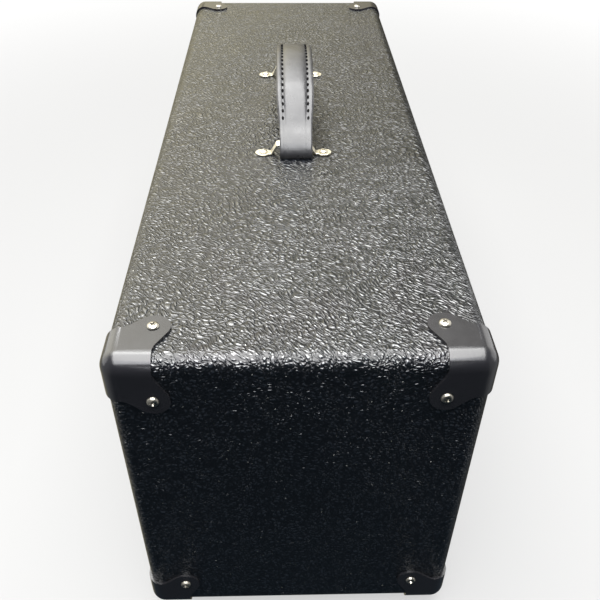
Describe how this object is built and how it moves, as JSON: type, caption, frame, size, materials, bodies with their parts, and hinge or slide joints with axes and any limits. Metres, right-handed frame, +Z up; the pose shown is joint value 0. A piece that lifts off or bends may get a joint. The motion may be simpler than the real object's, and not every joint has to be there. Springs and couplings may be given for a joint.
{
  "type": "guitar amplifier head",
  "caption": "Guitar amplifier head: a black covered cabinet with moulded corner caps and an arched strap handle, front controls, rear sockets and a valve chassis inside.",
  "frame": {"origin": "on the floor plane under the middle of the cabinet, at the bottom centre of the bounding box", "axes": "+X along the cabinet's length, -Y towards the front with the controls, +Z up"},
  "size_m": [0.7238, 0.2454, 0.347],
  "materials": {
    "plywood": "raw birch plywood, hidden under the covering",
    "pine": "sawn softwood",
    "covering": "black vinyl embossed with a pebbled leather grain, satin",
    "cap_plastic": "smooth moulded black plastic, semi-gloss",
    "nickel": "nickel-plated steel, slightly warm",
    "zinc": "zinc-plated steel",
    "spring_steel": "bare spring steel",
    "rubber": "moulded black rubber",
    "strap": "black padded vinyl leather, semi-gloss, stitched",
    "cloth": "woven black grille cloth",
    "piping": "off-white vinyl piping",
    "black_steel": "black powder-coated steel",
    "panel_alu": "brushed aluminium",
    "black_plastic": "moulded black plastic",
    "knob_black": "moulded black plastic with a white pointer",
    "gloss_black": "polished black plastic",
    "grey_plastic": "light grey plastic",
    "chrome": "polished chrome",
    "jewel": "clear red faceted plastic",
    "brass": "plain brass",
    "lamination": "black lacquered steel laminations",
    "winding": "enamelled copper wire under amber tape",
    "ceramic": "unglazed white ceramic",
    "phenolic": "dark brown phenolic",
    "glass": "clear blown glass",
    "valve_metal": "grey carbonised metal",
    "can_sleeve": "aluminium can in a blue plastic sleeve",
    "board_green": "green glass-fibre board",
    "part_body": "moulded component bodies"
  },
  "bodies": {
    "cabinet": {"top_panel": "plywood", "bottom_panel": "plywood", "end_panel_left": "plywood", "end_panel_right": "plywood", "vinyl_covering": "covering", "corner_caps": "cap_plastic", "cap_screws": "nickel", "rubber_feet": "rubber", "foot_screws": "zinc", "handle_brackets": "nickel", "handle_screws": "nickel", "baffle_board": "plywood", "grille_cloth": "cloth", "grille_piping": "piping", "panel_cleats": "pine", "rear_grille": "black_steel", "grille_screws": "black_steel", "chassis": "zinc", "chassis_bolts": "zinc", "rear_wall": "black_steel", "control_panel": "panel_alu", "potentiometers": "zinc", "jack_sockets": "black_plastic", "switch_frames": "black_plastic", "lamp_bezel": "chrome", "lamp_jewel": "jewel", "button_switch": "black_plastic", "mains_inlet": "black_plastic", "inlet_pins": "brass", "fuse_holder": "black_plastic", "selector_switch": "zinc", "mains_core": "lamination", "mains_coil": "winding", "output_core": "lamination", "output_coil": "winding", "choke": "lamination", "transformer_bolts": "zinc", "power_sockets": "ceramic", "preamp_sockets": "ceramic", "valve_bases": "phenolic", "power_valves": "glass", "preamp_valves": "glass", "valve_plates": "valve_metal", "filter_capacitors": "can_sleeve", "circuit_board": "board_green", "board_pillars": "brass", "board_parts": "part_body"},
    "handle": {"handle_strap": "strap", "handle_core": "spring_steel"},
    "knob_1": {"knob_1": "knob_black"},
    "knob_2": {"knob_2": "knob_black"},
    "knob_3": {"knob_3": "knob_black"},
    "knob_4": {"knob_4": "knob_black"},
    "knob_5": {"knob_5": "knob_black"},
    "knob_6": {"knob_6": "knob_black"},
    "standby_rocker": {"standby_rocker": "gloss_black"},
    "power_rocker": {"power_rocker": "gloss_black"},
    "channel_button": {"channel_button": "grey_plastic"},
    "fuse_cap": {"fuse_cap": "black_plastic"},
    "selector_knob": {"selector_knob": "black_plastic"}
  },
  "joints": [
    {"name": "handle_lift", "type": "slide", "parent": "cabinet", "child": "handle", "axis": [0, 0, 1], "range_m": [0, 0.0015]},
    {"name": "knob_1_turn", "type": "hinge", "parent": "cabinet", "child": "knob_1", "pos_m": [-0.165, -0.1, 0.076], "axis": [0, 1, 0], "range_deg": [-150, 150]},
    {"name": "knob_2_turn", "type": "hinge", "parent": "cabinet", "child": "knob_2", "pos_m": [-0.099, -0.1, 0.076], "axis": [0, 1, 0], "range_deg": [-150, 150]},
    {"name": "knob_3_turn", "type": "hinge", "parent": "cabinet", "child": "knob_3", "pos_m": [-0.033, -0.1, 0.076], "axis": [0, 1, 0], "range_deg": [-150, 150]},
    {"name": "knob_4_turn", "type": "hinge", "parent": "cabinet", "child": "knob_4", "pos_m": [0.033, -0.1, 0.076], "axis": [0, 1, 0], "range_deg": [-150, 150]},
    {"name": "knob_5_turn", "type": "hinge", "parent": "cabinet", "child": "knob_5", "pos_m": [0.099, -0.1, 0.076], "axis": [0, 1, 0], "range_deg": [-150, 150]},
    {"name": "knob_6_turn", "type": "hinge", "parent": "cabinet", "child": "knob_6", "pos_m": [0.165, -0.1, 0.076], "axis": [0, 1, 0], "range_deg": [-150, 150]},
    {"name": "standby_rocker_tilt", "type": "hinge", "parent": "cabinet", "child": "standby_rocker", "pos_m": [0.262, -0.094, 0.076], "axis": [1, 0, 0], "range_deg": [-18, 0]},
    {"name": "power_rocker_tilt", "type": "hinge", "parent": "cabinet", "child": "power_rocker", "pos_m": [0.302, -0.094, 0.076], "axis": [1, 0, 0], "range_deg": [-18, 0]},
    {"name": "channel_button_press", "type": "slide", "parent": "cabinet", "child": "channel_button", "axis": [0, 1, 0], "range_m": [0, 0.0035], "stiffness_N_per_m": 300, "springref_m": -0.003},
    {"name": "fuse_cap_turn", "type": "hinge", "parent": "cabinet", "child": "fuse_cap", "pos_m": [0.238, 0.099, 0.072], "axis": [0, 1, 0], "range_deg": [0, 90]},
    {"name": "selector_turn", "type": "hinge", "parent": "cabinet", "child": "selector_knob", "pos_m": [0.165, 0.103, 0.072], "axis": [0, 1, 0], "range_deg": [-30, 30]}
  ]
}
